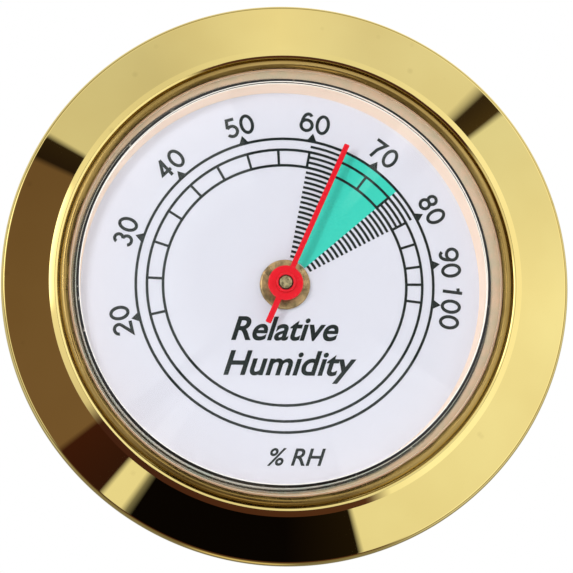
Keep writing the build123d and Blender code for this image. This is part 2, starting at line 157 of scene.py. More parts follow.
class Finish(Nodes):
    """A material with one Principled shader, fed by patterns of colour, roughness and relief."""

    def __init__(self, name):
        self.material = bpy.data.materials.new(name)
        self.material.use_nodes = True
        super().__init__(self.material.node_tree)
        self.output = self.add("ShaderNodeOutputMaterial")
        self.shader = self.add("ShaderNodeBsdfPrincipled")
        self.link(self.shader.outputs["BSDF"], self.output.inputs["Surface"])

    def set(self, **values):
        """Values that are the same all over, on the shader's own sockets."""
        for key, value in values.items():
            self.shader.inputs[key.replace("_", " ")].default_value = value

    def position(self):
        return self.add("ShaderNodeTexCoord").outputs["Object"]

    def noise(self, vector, scale, detail=3.0, roughness=0.5):
        node = self.add("ShaderNodeTexNoise", Scale=scale, Detail=detail, Roughness=roughness)
        self.link(vector, node.inputs["Vector"])
        return node.outputs["Fac"]

    def colour(self, value):
        self.link(value, self.shader.inputs["Base Color"])

    def roughness(self, pattern, low, high):
        """Roughness between low and high, following a noise pattern."""
        self.link(self.span(pattern, 0.3, 0.7, low, high), self.shader.inputs["Roughness"])

    def relief(self, height):
        """Bump from a height in metres."""
        node = self.add("ShaderNodeBump", Strength=1.0, Distance=1.0)
        self.link(height, node.inputs["Height"])
        self.link(node.outputs["Normal"], self.shader.inputs["Normal"])

    def from_axis(self, centre_x=0.0, centre_z=0.0):
        """Distance in metres from the dial's axis, or from a line beside it."""
        split = self.add("ShaderNodeSeparateXYZ")
        self.link(self.position(), split.inputs[0])
        x = self.math("SUBTRACT", split.outputs["X"], centre_x)
        z = self.math("SUBTRACT", split.outputs["Z"], centre_z)
        return self.math("SQRT", self.math("ADD", self.product(x, x), self.product(z, z)))

    def grooves(self, radius, pitch):
        """Concentric lines, a wave from -1 to 1 at this pitch."""
        return self.math("SINE", self.product(radius, 2 * math.pi / pitch))

    def band(self, value, low, high, soft):
        """1 where the value lies between low and high, with soft edges."""
        rise = self.span(value, low - soft, low + soft, 0, 1)
        fall = self.span(value, high - soft, high + soft, 1, 0)
        return self.product(rise, fall)


def darker(colour, share):
    return tuple(c * share for c in colour)


# ---------------------------------------------------------------- mesh helpers
def rounded(corners):
    """A closed outline of (radius, height) points from corners (radius, height, rounding)."""
    outline = []
    for index, (r, h, rounding) in enumerate(corners):
        here = Vector((r, h))
        before = Vector(corners[index - 1][:2]) - here
        after = Vector(corners[(index + 1) % len(corners)][:2]) - here
        if rounding <= 0:
            outline.append((r, h))
            continue
        half = before.angle(after) / 2
        reach = rounding / math.tan(half)
        centre = here + (before.normalized() + after.normalized()).normalized() * rounding / math.sin(half)
        start = here + before.normalized() * reach - centre
        end = here + after.normalized() * reach - centre
        sweep = math.atan2(start.x * end.y - start.y * end.x, start.dot(end))
        for step in range(ROUNDING_STEPS + 1):
            turn = sweep * step / ROUNDING_STEPS
            c, s = math.cos(turn), math.sin(turn)
            outline.append((centre.x + start.x * c - start.y * s, centre.y + start.x * s + start.y * c))
    return outline


def in_metres(corners):
    """Corners in millimetres (radius, height, rounding) to a rounded outline in metres."""
    return rounded([(r * MM, h * MM, rounding * MM) for r, h, rounding in corners])


def add_object(name, data):
    piece = bpy.data.objects.new(name, data)
    bpy.context.scene.collection.objects.link(piece)
    return piece


def make_mesh(name, vertices, faces):
    """A mesh object with consistent outward normals, smooth except at real edges."""
    mesh = bpy.data.meshes.new(name)
    mesh.from_pydata(vertices, [], faces)
    built = bmesh.new()
    built.from_mesh(mesh)
    bmesh.ops.remove_doubles(built, verts=built.verts, dist=SAME_POINT)
    bmesh.ops.recalc_face_normals(built, faces=built.faces)
    built.to_mesh(mesh)
    built.free()
    mesh.polygons.foreach_set("use_smooth", [True] * len(mesh.polygons))
    mesh.set_sharp_from_angle(angle=math.radians(SMOOTH_ANGLE))
    return add_object(name, mesh)


def lathe(name, outline, wobble=None, segments=SEGMENTS):
    """Turns a closed (radius, height) outline about the Y axis; height points at the reader."""
    vertices, rings = [], []
    for r, h in outline:
        if r < ON_AXIS:
            rings.append([len(vertices)] * segments)
            vertices.append((0, -h, 0))
            continue
        rings.append(list(range(len(vertices), len(vertices) + segments)))
        for segment in range(segments):
            clock = 2 * math.pi * segment / segments
            rr, hh = wobble(r, h, clock) if wobble else (r, h)
            vertices.append((rr * math.sin(clock), -hh, rr * math.cos(clock)))
    faces = []
    for index, ring in enumerate(rings):
        following = rings[(index + 1) % len(rings)]
        if outline[index][0] < ON_AXIS and outline[(index + 1) % len(rings)][0] < ON_AXIS:
            continue
        for segment in range(segments):
            other = (segment + 1) % segments
            corner = [ring[segment], ring[other], following[other], following[segment]]
            faces.append(list(dict.fromkeys(corner)))
    return make_mesh(name, vertices, faces)


def soften(node, width, segments):
    """Rounds the edges of a CAD node that stays in view, by modifiers only."""
    piece = nodes[node]
    weld = piece.modifiers.new("weld", "WELD")
    weld.merge_threshold = WELD_DISTANCE
    bevel = piece.modifiers.new("edges", "BEVEL")
    bevel.width = width
    bevel.segments = segments
    bevel.limit_method = "ANGLE"
    bevel.angle_limit = math.radians(EDGE_ANGLE)
    bevel.harden_normals = True
    return piece


def dress(piece, material):
    """One material on the whole piece."""
    piece.data.materials.clear()
    piece.data.materials.append(material)


def finish_piece(piece, body, slot, material, *stands_for):
    """Material, body and the CAD nodes that the piece stands for; the slot is not used."""
    dress(piece, material)
    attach(piece, body)
    if stands_for:
        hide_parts(*stands_for)


# ---------------------------------------------------------------- materials
TURNING_PITCH = 0.00009
GRINDING_PITCH = 0.11 * MM
# where marks on the lens start and end, outwards from the arris and inwards from the outer edge
BEVEL_START = (0.02 * MM, 0.05 * MM)
# the arris line is a matt ground arris, coloured white as a painted highlight along the edge; the dark line
# just outside it is painted shadow
ARRIS_LINE = (-0.060 * MM, -0.005 * MM)
PAINTED_SHADOW_LINE = (0.01 * MM, 0.22 * MM)
GROUND_EDGE = (0.04 * MM, 0.02 * MM)


def brass(name, light, deep, rough, turned=0.0, wear=0.0, ripple=0.0, pits=0.0, blotches=420, bare=0.50):
    """Lacquered brass: slow colour drift, handling marks, and turning lines where it was spun."""
    n = Finish(name)
    n.set(Metallic=1.0)
    where = n.position()
    drift = n.noise(where, 90, 3)
    colour = n.mix(n.span(drift, 0.35, 0.65, 0, 1), light, deep)
    speck = n.add("ShaderNodeTexVoronoi", Scale=330.0, Randomness=1.0)
    n.link(where, speck.inputs["Vector"])
    dust = n.span(speck.outputs["Distance"], 0.03, 0.10, 0.22, 0)
    colour = n.mix(dust, colour, darker(deep, 0.6))
    if wear:
        blotch = n.noise(where, blotches, 6, 0.6)
        tarnish = n.span(blotch, bare, bare + 0.22, 0, wear)
        colour = n.mix(tarnish, colour, darker(deep, 0.45))
    n.colour(colour)
    n.roughness(n.noise(where, 260, 4, 0.55), rough * 0.75, rough * 1.35)
    waves = n.product(n.noise(where, 55, 2), ripple)
    grain = n.product(n.noise(where, 9000, 2), pits)
    height = n.math("ADD", waves, grain)
    if turned:
        line = n.grooves(n.from_axis(), TURNING_PITCH)
        height = n.math("ADD", height, n.product(line, n.noise(where, 300, 2), turned))
    n.relief(height)
    return n.material


def lens_material():
    """Clear glass with a ground bevel: fine lines, a broken line of painted shadow just outside the arris, a
    matt arris coloured white as a painted highlight, and a matt outer edge.
    """
    n = Finish("clear_glass")
    n.set(IOR=1.5)
    r = n.from_axis(ARRIS_X, ARRIS_Z)
    where = n.position()
    clear = n.mix(n.noise(where, 40, 2), (0.985, 0.995, 0.99), (0.99, 0.998, 0.995))
    streak = n.span(n.noise(where, 900, 3, 0.6), 0.35, 0.65, 0, 1)
    ground = n.mix(streak, (0.25, 0.29, 0.21), (0.38, 0.31, 0.22))
    bevel = n.span(r, ARRIS_R + BEVEL_START[0], ARRIS_R + BEVEL_START[1], 0, 1)
    arris = n.band(r, ARRIS_R + ARRIS_LINE[0], ARRIS_R + ARRIS_LINE[1], 0.012 * MM)
    dashes = n.span(n.noise(where, 1500, 2), 0.20, 0.32, 0, 1)
    # painted shadow: a broken black line on the bevel just outside the arris
    dark = n.product(n.band(r, ARRIS_R + PAINTED_SHADOW_LINE[0], ARRIS_R + PAINTED_SHADOW_LINE[1], 0.015 * MM), dashes)
    edge = n.span(n.from_axis(), LENS_R - GROUND_EDGE[0], LENS_R - GROUND_EDGE[1], 0, 1)
    colour = n.mix(bevel, clear, ground)
    # painted highlight: the matt arris is coloured white for the highlight along the edge
    colour = n.mix(arris, colour, (0.96, 0.94, 0.88))
    colour = n.mix(edge, colour, (0.95, 0.93, 0.80))
    n.colour(n.mix(dark, colour, (0.004, 0.004, 0.003)))

    opaque = n.math("MAXIMUM", n.product(arris, 0.9), n.product(dark, 0.92))
    opaque = n.math("MAXIMUM", opaque, n.product(edge, 0.9))
    n.link(n.math("SUBTRACT", 1.0, opaque), n.shader.inputs["Transmission Weight"])
    n.link(n.product(n.math("MAXIMUM", bevel, arris), 0.26), n.shader.inputs["Roughness"])
    uneven = n.span(n.noise(where, 500, 2), 0.3, 0.7, 0.2, 1.0)
    n.relief(n.product(n.product(n.grooves(r, GRINDING_PITCH), uneven), n.product(bevel, 2.5e-6)))

    # the lamps' light goes straight through to the dial
    rays = n.add("ShaderNodeLightPath")
    lit = n.math("MAXIMUM", rays.outputs["Is Shadow Ray"], rays.outputs["Is Diffuse Ray"])
    through = n.add("ShaderNodeBsdfTransparent")
    through.inputs["Color"].default_value = (0.97, 0.97, 0.97, 1)
    both = n.add("ShaderNodeMixShader")
    n.link(lit, both.inputs[0])
    n.link(n.shader.outputs[0], both.inputs[1])
    n.link(through.outputs[0], both.inputs[2])
    n.link(both.outputs[0], n.output.inputs["Surface"])
    return n.material


def enamel(name, colour, rough, orange_peel=2.0e-7, mottle=0.04, coat=0.0, gloss=0.5, painted_shade_radius=0.0):
    """Sprayed enamel with an orange peel and uneven colour; inside the given radius it is darkened with
    painted shade, standing in for the shadow in the gap round the spindle.
    """
    n = Finish(name)
    where = n.position()
    paint = n.mix(n.noise(where, 350, 4), colour, darker(colour, 1 - mottle))
    if painted_shade_radius:
        # painted shade: the paint goes nearly black inside the radius, for the shadowed gap between the hub
        # and the spindle
        painted_shade = n.span(n.from_axis(), painted_shade_radius, painted_shade_radius + 0.03 * MM, 0.9, 0)
        paint = n.mix(painted_shade, paint, (0.05, 0.02, 0.015))
    n.colour(paint)
    n.roughness(n.noise(where, 900, 3), rough * 0.85, rough * 1.15)
    n.set(Coat_Weight=coat, Coat_Roughness=0.12, Specular_IOR_Level=gloss)
    n.relief(n.product(n.noise(where, 5200, 2), orange_peel))
    return n.material


def ink(name, colour, thin, rough=0.55):
    """Screen-printed ink: slightly uneven cover with a fine edge grain."""
    n = Finish(name)
    where = n.position()
    cover = n.span(n.noise(where, 6500, 3, 0.6), 0.35, 0.75, 0, 1)
    n.colour(n.mix(cover, colour, thin))
    n.set(Specular_IOR_Level=0.15)
    n.roughness(n.noise(where, 2500, 2), rough * 0.85, rough * 1.1)
    n.relief(n.product(n.noise(where, 9000, 2), 1.0e-6))
    return n.material


def rose_plate():
    """Rose-gold plating over a soft satin surface, a little uneven round the ring."""
    n = Finish("rose_plate")
    where = n.position()
    n.colour(n.mix(n.noise(where, 160, 4), (1.0, 0.81, 0.66), (1.0, 0.76, 0.60)))
    n.set(Metallic=0.10)
    n.roughness(n.noise(where, 700, 3), 0.30, 0.42)
    n.relief(n.product(n.noise(where, 3500, 3), 2.0e-6))
    return n.material


def steel(name, colour, rough):
    """Rolled steel with a straight grain."""
    n = Finish(name)
    n.set(Metallic=1.0)
    stretch = n.add("ShaderNodeMapping")
    stretch.inputs["Scale"].default_value = (1.0, 1.0, 14.0)
    n.link(n.position(), stretch.inputs["Vector"])
    line = n.noise(stretch.outputs["Vector"], 700, 4, 0.6)
    n.colour(n.mix(line, colour, darker(colour, 0.72)))
    n.roughness(line, rough * 0.8, rough * 1.25)
    n.relief(n.product(line, 1.2e-6))
    return n.material


def moulded(name, colour, rough):
    """Moulded rubber or plastic with a fine spark-eroded grain."""
    n = Finish(name)
    where = n.position()
    n.colour(n.mix(n.noise(where, 500, 3), colour, darker(colour, 0.7)))
    n.roughness(n.noise(where, 1800, 3), rough * 0.85, rough * 1.15)
    n.relief(n.product(n.noise(where, 8000, 3), 3.0e-6))
    return n.material


def coil_material():
    """Copper-coloured strip with a paper laminate's mottle and fibres."""
    n = Finish("coil_laminate")
    fibre = n.noise(n.position(), 3200, 6, 0.7)
    n.colour(n.mix(fibre, (0.70, 0.43, 0.20), (0.46, 0.25, 0.11)))
    n.set(Metallic=0.65)
    n.roughness(fibre, 0.32, 0.55)
    n.relief(n.product(fibre, 3.0e-6))
    return n.material


BEZEL_BRASS = brass("bezel_brass", (0.86, 0.71, 0.275), (0.80, 0.64, 0.235), 0.012, ripple=1.2e-5, pits=6e-9)
RING_BRASS = brass("ring_brass", (0.58, 0.41, 0.14), (0.40, 0.27, 0.08), 0.27, turned=2.0e-6, pits=2e-7)
ROSE_PLATE = rose_plate()
CASE_BRASS = brass("case_brass", (0.74, 0.59, 0.29), (0.66, 0.50, 0.22), 0.24, turned=6e-7, wear=0.35)
BUSH_BRASS = brass(
    "bush_brass", (0.80, 0.54, 0.27), (0.40, 0.30, 0.14), 0.30,
    turned=1.5e-6, wear=1.0, pits=8e-7, blotches=1500, bare=0.43,
)
SPINDLE_BRASS = brass(
    "spindle_brass", (0.66, 0.55, 0.33), (0.40, 0.34, 0.18), 0.38,
    wear=1.0, pits=1.2e-6, blotches=4200, bare=0.40,
)
POST_BRASS = brass("post_brass", (0.80, 0.62, 0.30), (0.66, 0.50, 0.22), 0.16, turned=1.2e-6, wear=0.4)
GLASS = lens_material()
GASKET = moulded("gasket_rubber", (0.52, 0.33, 0.19), 0.45)
SEAT_PLASTIC = moulded("seat_plastic", (0.03, 0.03, 0.032), 0.45)
DIAL_WHITE = enamel("dial_enamel", (0.725, 0.74, 0.85), 0.42, mottle=0.02)
INK_DARK = ink("ink_dark", (0.004, 0.010, 0.011), (0.012, 0.022, 0.022))
INK_GREEN = ink("ink_green", (0.034, 0.61, 0.49), (0.055, 0.67, 0.54), 0.4)
# the red is painted dark round the spindle: painted shade for the gap there
POINTER_RED = enamel(
    "pointer_red", (0.84, 0.004, 0.020), 0.26,
    orange_peel=8e-7, mottle=0.14, coat=0.15, gloss=0.2, painted_shade_radius=0.57 * MM,
)
ARM_STEEL = steel("arm_steel", (0.62, 0.61, 0.58), 0.28)
SPRING_STEEL = steel("spring_steel", (0.44, 0.44, 0.46), 0.22)
COIL = coil_material()


# ---------------------------------------------------------------- bezel, lens ring, lens and gasket
# the sections below are in millimetres
CONE_FOOT = 0.43
CONE_TOP = 1.09
BEAD_GAP = 0.06
BEAD_WIDTH = 0.72
REAR_RIM = 0.37
CUP_GAP = 0.02
SPIGOT_END = -5.0
RIM_WIDTH = 0.69
GASKET_GAP = 0.02
GASKET_WIDTH = 0.12
# the reflector's opening, inwards from the CAD ring's radius: at the dial and under the lens
REFLECTOR_AT_DIAL = 1.20
REFLECTOR_AT_LENS = 0.65


def bezel():
    """Conical flange with a full outer edge, an inner bead and the spigot behind it."""
    edge = FLANGE_R / MM
    bead = RING_R / MM + BEAD_GAP
    bore = CUP_R / MM + CUP_GAP
    spigot = SPIGOT_R / MM
    rim = RIM_BACK / MM
    root = bead + BEAD_WIDTH

    def cone(share):
        """A corner on the cone near one of its ends, which keeps the shading between them even."""
        return edge + share * (root - edge), CONE_FOOT + share * (CONE_TOP - CONE_FOOT), 0.0

    corners = [
        (edge, 0.0, 0.03),
        (edge, CONE_FOOT, 0.30),
        cone(0.10),
        cone(0.93),
        (root, CONE_TOP, 0.16),
        (bead + 0.26, 1.23, 0.07),
        (bead + 0.05, 1.16, 0.07),
        (bead, rim, 0.0),
        (bore, rim, 0.0),
        (bore, SPIGOT_END, 0.10),
        (spigot, SPIGOT_END, 0.16),
        (spigot, 0.50, 0.15),
        (edge - REAR_RIM, 0.08, 0.03),
        (edge - REAR_RIM, 0.0, 0.02),
    ]
    piece = lathe("bezel", in_metres(corners))
    finish_piece(piece, "case", "bezel_brass", BEZEL_BRASS, "bezel_ring")


# lobes pressed over the lens: clock angle, half width in degrees, reach in millimetres
CRIMPS = (
    (8, 7, 0.05), (24, 9, 0.07), (44, 8, 0.06), (86, 12, 0.04), (133, 7, 0.11),
    (147, 8, 0.11), (171, 5, 0.07), (186, 6, 0.07), (214, 4, 0.05), (229, 5, 0.06),
    (248, 4, 0.05), (272, 5, 0.06), (299, 13, 0.08), (324, 10, 0.07), (346, 8, 0.06),
)


def crimp(r, h, clock):
    """Lobes of the lens ring's inner edge, pressed towards the lens, and fine uneven marks between."""
    if r > RING_R - 0.5 * MM or h < RIM_BACK + 0.3 * MM:
        return r, h
    reach = 0.006 * math.sin(53 * clock) * math.sin(17 * clock + 1.3)
    for middle, half_width, depth in CRIMPS:
        away = (math.degrees(clock) - middle + 180) % 360 - 180
        if abs(away) < half_width:
            reach += depth * math.cos(away / half_width * math.pi / 2) ** 2
    return r - reach * MM, h - 0.3 * reach * MM


def lens_rim():
    """Round-shouldered ring that holds the lens and slopes down to it."""
    outer = RING_R / MM
    rim = RIM_BACK / MM
    inner = outer - RIM_WIDTH
    corners = [
        (inner, rim, 0.03),
        (outer, rim, 0.03),
        (outer, rim + 0.36, 0.12),
        (outer - 0.20, rim + 0.72, 0.24),
        (outer - 0.46, rim + 0.77, 0.16),
        (inner, rim + 0.56, 0.14),
    ]
    piece = lathe("lens_rim", in_metres(corners), wobble=crimp)
    finish_piece(piece, "case", "ring_brass", RING_BRASS, "lens_ring")


def lens():
    """Flat glass with a bevel ground round its front, wider to the right and at the top."""
    edge = LENS_R / MM
    corners = [
        (0.0, LENS_BACK / MM, 0.0),
        (edge, LENS_BACK / MM, 0.05),
        (edge, (LENS_FRONT - BEVEL_DEPTH) / MM, 0.05),
        (ARRIS_R / MM, LENS_FRONT / MM, 0.04),
        (0.0, LENS_FRONT / MM, 0.0),
    ]
    piece = lathe("lens", in_metres(corners))
    for vertex in piece.data.vertices:
        share = max(0.0, 1 - (LENS_FRONT + vertex.co.y) / BEVEL_DEPTH)
        vertex.co.x += share * ARRIS_X
        vertex.co.z += share * ARRIS_Z
    finish_piece(piece, "case", "lens_glass", GLASS, "lens_glass")


def gasket():
    """Thin seal pressed between the lens and its ring, with a rolled lip."""
    inner = LENS_R / MM + GASKET_GAP
    outer = inner + GASKET_WIDTH
    rim = RIM_BACK / MM
    lip = front("lens_gasket") / MM
    corners = [
        (inner, rim, 0.02),
        (outer, rim, 0.02),
        (outer, lip, 0.04),
        (inner, lip - 0.05, 0.03),
    ]
    piece = lathe("lens_seal", in_metres(corners))
    finish_piece(piece, "case", "gasket_amber", GASKET, "lens_gasket")


def reflector():
    """Sloping rose-gold ring under the lens: its rim is concentric, its opening off centre.

    The CAD's whole ring is off centre. Here only the opening is, by the same amount, and the rim
    reaches the dial plate's radius, so that no gap shows outside it.
    """
    low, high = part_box("reflector_ring")
    centre = (low + high) / 2
    cad_radius = outer_radius("reflector_ring") / MM
    dial_height = DIAL_FACE / MM
    top = LENS_BACK / MM
    rim = RIM_R / MM
    corners = [
        (cad_radius - REFLECTOR_AT_DIAL, dial_height, 0.0),
        (rim, dial_height, 0.03),
        (rim, top, 0.05),
        (cad_radius - REFLECTOR_AT_LENS, top, 0.12),
    ]
    piece = lathe("reflector", in_metres(corners))
    for vertex in piece.data.vertices:
        if math.hypot(vertex.co.x, vertex.co.z) < cad_radius * MM:
            vertex.co.x += centre.x
            vertex.co.z += centre.z
    finish_piece(piece, "case", "reflector_rose", ROSE_PLATE, "reflector_ring")


# ---------------------------------------------------------------- dial, prints and lettering
# half the thickness of the lettering
LETTER_HALF = 0.01 * MM


def dial():
    """The enamelled dial and its printed scale keep their CAD shapes."""
    for node, material in (
        ("dial_plate", DIAL_WHITE),
        ("dial_scale_print", INK_DARK),
        ("dial_numerals_print", INK_DARK),
        ("caution_hatch_print", INK_DARK),
        ("comfort_zone_print", INK_GREEN),
    ):
        dress(nodes[node], material)


def lettering(name, text, width, centre_x, baseline, weight):
    """One line of generic printed lettering on the dial; sizes in millimetres."""
    curve = bpy.data.curves.new(name, "FONT")
    curve.body = text
    curve.size = 1.0
    curve.shear = 0.32
    curve.offset = weight
    curve.align_x = "CENTER"
    source = add_object(name + "_curve", curve)
    bpy.context.view_layer.update()
    letter_scale = width * MM / source.dimensions.x
    curve.extrude = LETTER_HALF / letter_scale
    bpy.context.view_layer.update()
    mesh = bpy.data.meshes.new_from_object(source.evaluated_get(bpy.context.evaluated_depsgraph_get()))
    bpy.data.objects.remove(source)
    middle = (min(v.co.x for v in mesh.vertices) + max(v.co.x for v in mesh.vertices)) / 2
    for vertex in mesh.vertices:
        x, y, z = vertex.co
        across = centre_x * MM + (x - middle) * letter_scale
        vertex.co = (across, -DIAL_FACE - LETTER_HALF - z * letter_scale, baseline * MM + y * letter_scale)
    mesh.name = name
    piece = add_object(name, mesh)
    mesh.validate()
    finish_piece(piece, "case", "ink_dark", INK_DARK)


def dial_lettering():
    """Plain words in place of the original script."""
    lettering("lettering_relative", "Relative", 8.4, 0.0, -4.35, 0.020)
    lettering("lettering_humidity", "Humidity", 10.4, 0.4, -7.1, 0.020)
    lettering("lettering_unit", "% RH", 4.6, 0.9, -14.2, 0.014)


# ---------------------------------------------------------------- bush, spindle and pointer
def bush():
    """Turned bush, riveted through the dial."""
    face = BUSH_R / MM
    dial_height = DIAL_FACE / MM
    top = front("front_bush") / MM
    rivet = back("front_bush") / MM
    corners = [
        (0.54, rivet, 0.03),
        (1.5, rivet, 0.08),
        (1.5, rivet + 0.3, 0.0),
        (1.0, rivet + 0.3, 0.0),
        (1.0, dial_height, 0.0),
        (face - 0.07, dial_height, 0.0),
        (face - 0.07, dial_height + 0.06, 0.0),
        (face, dial_height + 0.09, 0.02),
        (face, top, 0.16),
        (0.54, top, 0.06),
    ]
    piece = lathe("dial_bush", in_metres(corners), segments=256)
    finish_piece(piece, "case", "bush_brass", BUSH_BRASS, "front_bush")


def spindle_end(r, h, clock):
    """The cut end of the spindle is dished and torn, with two crescent marks."""
    if h < front("spindle") - 0.1 * MM:
        return r, h
    crescent = max(0.0, math.sin(2 * clock + 0.6)) ** 2 * math.exp(-((r / MM - 0.3) / 0.09) ** 2)
    tear = math.sin(5 * clock + 9 * r / MM) * r / MM
    return r, h - (0.06 * crescent + 0.02 * tear) * MM


def spindle():
    """Turned spindle with a pivot point behind and a rough cut end in front."""
    tail = back("spindle") / MM
    nose = front("spindle") / MM
    corners = [
        (0.0, tail, 0.0),
        (0.15, tail, 0.03),
        (0.5, tail + 0.3, 0.03),
        (0.5, nose, 0.07),
    ]
    corners += [(r / 50, nose - 0.03, 0.0) for r in range(20, -1, -2)]
    piece = lathe("pointer_spindle", in_metres(corners), wobble=spindle_end, segments=128)
    finish_piece(piece, "pointer", "bush_brass", SPINDLE_BRASS, "spindle")


def hub():
    """Red hub tube with a rolled collar and a countersink round the spindle."""
    rear = back("pointer_hub") / MM
    top = front("pointer_hub") / MM
    flange = back("pointer_arm") / MM
    corners = [
        (0.5, rear, 0.0),
        (1.2, rear, 0.04),
        (1.2, flange, 0.0),
        (0.78, flange, 0.0),
        (0.78, top, 0.08),
        (0.62, top, 0.05),
        (0.5, top - 0.24, 0.0),
    ]
    piece = lathe("pointer_boss", in_metres(corners), segments=192)
    finish_piece(piece, "pointer", "pointer_red", POINTER_RED, "pointer_hub")


def softened_nodes():
    """CAD nodes that keep their shapes, with worn edges: the pointer, the case and the movement."""
    for node, width, segments, material in (
        ("pointer_arm", 0.07, 3, POINTER_RED),
        ("case_cup", 0.08, 3, CASE_BRASS),
        ("calibration_post", 0.05, 3, POST_BRASS),
        ("calibration_arm", 0.05, 2, ARM_STEEL),
        ("coil_stud", 0.05, 2, ARM_STEEL),
        ("coil_clip", 0.03, 2, ARM_STEEL),
        ("friction_washer", 0.02, 2, SPRING_STEEL),
        ("coil_collet", 0.08, 2, POST_BRASS),
    ):
        dress(soften(node, width * MM, segments), material)
    dress(nodes["dial_seat_ring"], SEAT_PLASTIC)


# ---------------------------------------------------------------- sensing coil
# as in the CAD, in millimetres: half turns about two centres, half a pitch apart
COIL_HALF_TURNS = 11
COIL_START_R = 1.45
COIL_PITCH = 1.15
COIL_THICKNESS = 0.15
COIL_CHAMFER = 0.04
COIL_TAIL = 0.9
COIL_STEPS = 64


def coil_section():
    """The strip's cross-section as (offset from its middle line, y), with chamfered edges."""
    low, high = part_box("hygro_coil")
    half = COIL_THICKNESS / 2
    inner = half - COIL_CHAMFER
    bottom, top = low.y / MM, high.y / MM
    lower, upper = bottom + COIL_CHAMFER, top - COIL_CHAMFER
    return [
        (-half, lower), (-inner, bottom), (inner, bottom), (half, lower),
        (half, upper), (inner, top), (-inner, top), (-half, upper),
    ]


def coil_stations():
    """Points along the strip as (centre, radius, angle, length so far), and its whole length."""
    stations = []
    length = 0.0
    for half_turn in range(COIL_HALF_TURNS):
        side = half_turn % 2
        radius = COIL_START_R + half_turn * COIL_PITCH / 2
        last = half_turn == COIL_HALF_TURNS - 1
        for step in range(COIL_STEPS + last):
            turn = math.pi * step / COIL_STEPS
            stations.append((COIL_PITCH / 2 * side, radius, turn + math.pi * side, length + radius * turn))
        length += math.pi * radius
    return stations, length


def coil():
    """The sensing strip between the arm and the spindle, which on the real gauge winds up as the pointer
    turns; here it keeps one shape.
    """
    section = coil_section()
    stations, length = coil_stations()
    vertices, faces, shares = [], [], []
    for centre, radius, angle, run in stations:
        for offset, y in section:
            r = radius + offset
            vertices.append((-r * math.sin(angle) * MM, y * MM, (centre + r * math.cos(angle)) * MM))
            shares.append(1 - run / length)
    for offset, y in section:
        vertices.append((COIL_TAIL * MM, y * MM, -(stations[-1][1] + offset) * MM))
        shares.append(0.0)
    count = len(section)
    for station in range(len(stations)):
        a, b = station * count, (station + 1) * count
        for side in range(count):
            other = (side + 1) % count
            faces.append([a + side, a + other, b + other, b + side])
    faces.append(list(range(count)))
    faces.append([len(vertices) - count + side for side in range(count)])
    piece = make_mesh("sensing_coil", vertices, faces)
    dress(piece, COIL)
    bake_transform(piece)
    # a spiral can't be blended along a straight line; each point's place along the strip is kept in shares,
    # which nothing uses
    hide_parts("hygro_coil")


# ---------------------------------------------------------------- stage, light and camera
CAMERA_AZIMUTH = -4.0
CAMERA_ELEVATION = -10.0
CAMERA_DISTANCE = 0.35
CAMERA_LENS = 280.6
# where the camera looks, to the right of and below the origin as it sees it
AIM_RIGHT = 0.098 * MM
AIM_DOWN = 0.200 * MM
FLOOR_HALF = 3.0
FLOOR_LEVEL = -0.10


def sight(azimuth, elevation):
    """Unit vector from the object towards a camera at this azimuth and elevation."""
    a, e = math.radians(azimuth), math.radians(elevation)
    return Vector((math.sin(a) * math.cos(e), -math.cos(a) * math.cos(e), math.sin(e)))


def across_and_up(direction):
    """The level unit vector at right angles to a direction, and the one at right angles to both."""
    right = Vector((0, 0, 1)).cross(direction).normalized()
    return right, direction.cross(right)


def camera():
    """Long lens, a little below and to the left of the dial's axis."""
    data = bpy.data.cameras.new("camera")
    data.lens = CAMERA_LENS
    data.sensor_width = 36.0
    data.clip_start = 0.01
    eye = add_object("camera", data)
    back_to_camera = sight(CAMERA_AZIMUTH, CAMERA_ELEVATION)
    right, up = across_and_up(back_to_camera)
    aim = right * AIM_RIGHT - up * AIM_DOWN
    eye.location = aim + back_to_camera * CAMERA_DISTANCE
    eye.rotation_mode = "QUATERNION"
    eye.rotation_quaternion = (-back_to_camera).to_track_quat("-Z", "Y")
    bpy.context.scene.camera = eye


def floor():
    """Plain pale floor, far enough below for the low camera."""
    mesh = bpy.data.meshes.new("floor")
    corners = [(x * FLOOR_HALF, y * FLOOR_HALF, FLOOR_LEVEL) for x, y in ((-1, -1), (1, -1), (1, 1), (-1, 1))]
    mesh.from_pydata(corners, [], [(0, 1, 2, 3)])
    plane = add_object("floor", mesh)
    n = Finish("floor_paper")
    n.set(Base_Color=(0.86, 0.86, 0.85, 1), Roughness=0.9)
    dress(plane, n.material)
    plane.visible_glossy = False


# The studio is drawn round the mirror axis, the direction that a mirror flat on the dial would show
# to the camera. The tables hold (clock angle round that axis, colour), and each one closes on its
# first colour. The first is what the flange reflects.
STUDIO_RING = (
    (0, (1.00, 0.99, 0.97)),
    (18, (0.86, 0.86, 0.88)),
    (43.3, (0.88, 0.88, 0.88)),
    (44.0, (0.03, 0.02, 0.015)),
    (49.4, (0.06, 0.04, 0.02)),
    (50.4, (0.86, 0.88, 0.88)),
    (90, (1.10, 1.12, 1.14)),
    (135, (0.98, 0.98, 0.95)),
    (163.3, (0.94, 0.94, 0.90)),
    (164.0, (0.014, 0.009, 0.005)),
    (180, (0.003, 0.002, 0.002)),
    (215.0, (0.003, 0.002, 0.002)),
    (215.7, (0.95, 0.95, 0.90)),
    (220.8, (0.95, 0.95, 0.90)),
    (221.5, (0.035, 0.012, 0.01)),
    (233.8, (0.05, 0.014, 0.01)),
    (234.6, (0.20, 0.125, 0.085)),
    (270, (0.19, 0.12, 0.08)),
    (298.2, (0.17, 0.105, 0.07)),
    (298.9, (0.02, 0.012, 0.01)),
    (304.0, (0.03, 0.02, 0.012)),
    (304.8, (0.78, 0.78, 0.76)),
    (330, (0.74, 0.74, 0.74)),
)
